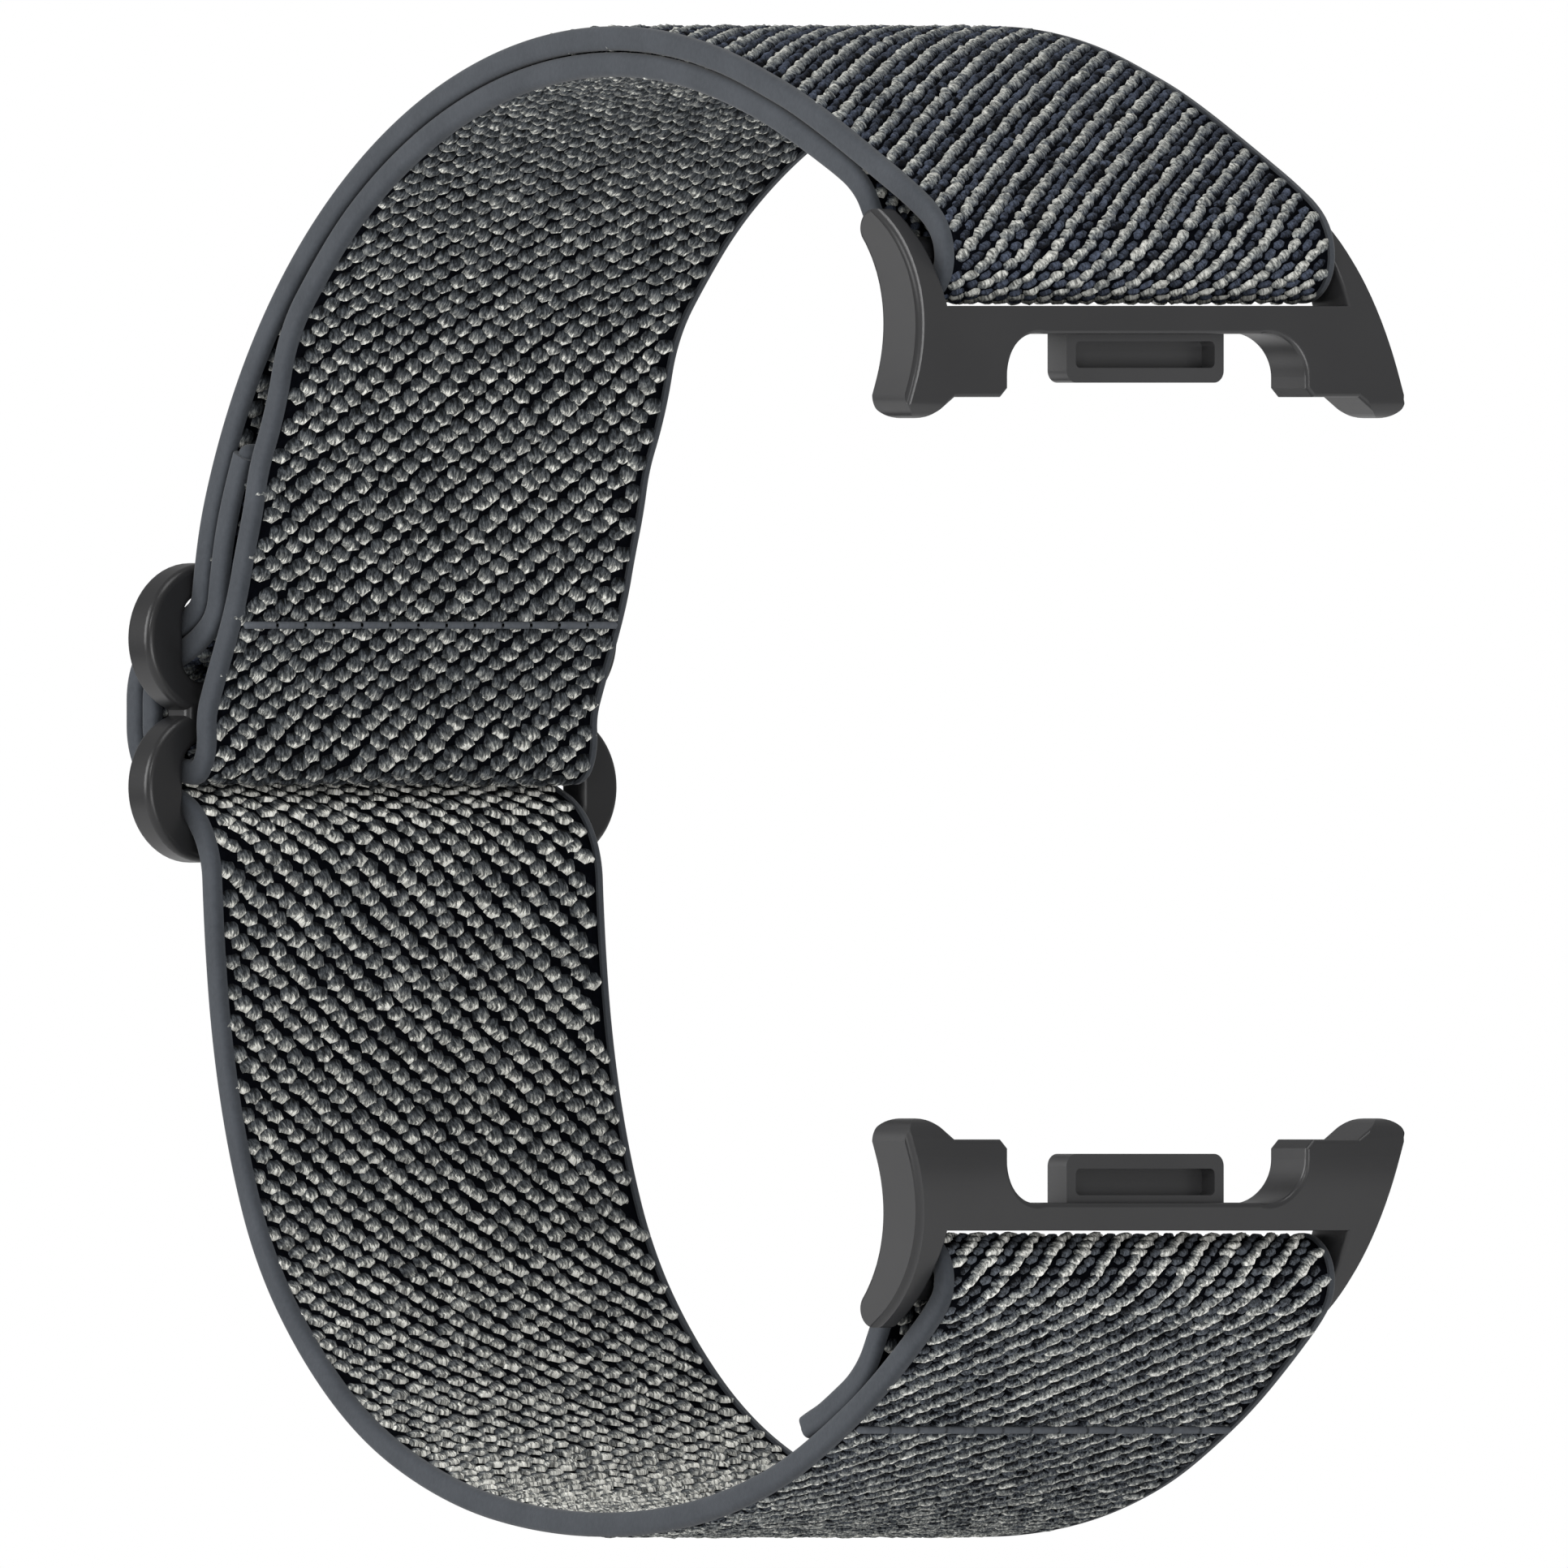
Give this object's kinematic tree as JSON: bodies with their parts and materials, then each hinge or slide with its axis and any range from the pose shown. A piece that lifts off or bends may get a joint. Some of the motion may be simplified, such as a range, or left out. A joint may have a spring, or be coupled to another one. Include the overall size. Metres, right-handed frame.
{
  "type": "watch strap",
  "caption": "Looped elastic watch strap with a flat three-bar slider buckle and two forked end connectors that slide into a watch case.",
  "frame": {"origin": "middle of the strap's bounding box, inside the loop", "axes": "+X from the buckle to the watch, +Y across the strap, +Z to the upper connector at twelve o'clock"},
  "size_m": [0.0616, 0.0286, 0.0682],
  "materials": {
    "elastic": "woven elastic, slate and light grey yarns",
    "thread": "slate sewing thread",
    "buckle": "satin black",
    "connector": "satin black",
    "latch": "satin black",
    "crossbar": "blackened steel",
    "spring": "spring steel"
  },
  "bodies": {
    "band": {"webbing_inner_run": "elastic", "webbing_outer_run": "elastic", "webbing_lower_run": "elastic", "buckle_seam": "thread", "lower_seam": "thread", "buckle_frame": "buckle"},
    "upper_end": {"upper_connector": "connector", "upper_crossbar": "crossbar", "upper_latch_spring": "spring"},
    "upper_catch": {"upper_latch": "latch"},
    "lower_end": {"lower_connector": "connector", "lower_crossbar": "crossbar", "lower_latch_spring": "spring"},
    "lower_catch": {"lower_latch": "latch"}
  },
  "joints": [
    {"name": "upper_hinge", "type": "hinge", "parent": "band", "child": "upper_end", "pos_m": [0.02745, 0, 0.0237], "axis": [0, 1, 0], "range_deg": [-60, 25]},
    {"name": "upper_latch_push", "type": "slide", "parent": "upper_end", "child": "upper_catch", "axis": [0, 0, 1], "range_m": [0, 0.0005], "stiffness_N_per_m": 300, "springref_m": -0.0005, "deforming": ["upper_latch_spring"]},
    {"name": "lower_hinge", "type": "hinge", "parent": "band", "child": "lower_end", "pos_m": [0.02745, 0, -0.0225], "axis": [0, -1, 0], "range_deg": [-60, 25]},
    {"name": "lower_latch_push", "type": "slide", "parent": "lower_end", "child": "lower_catch", "axis": [0, 0, -1], "range_m": [0, 0.0005], "stiffness_N_per_m": 300, "springref_m": -0.0005, "deforming": ["lower_latch_spring"]}
  ]
}
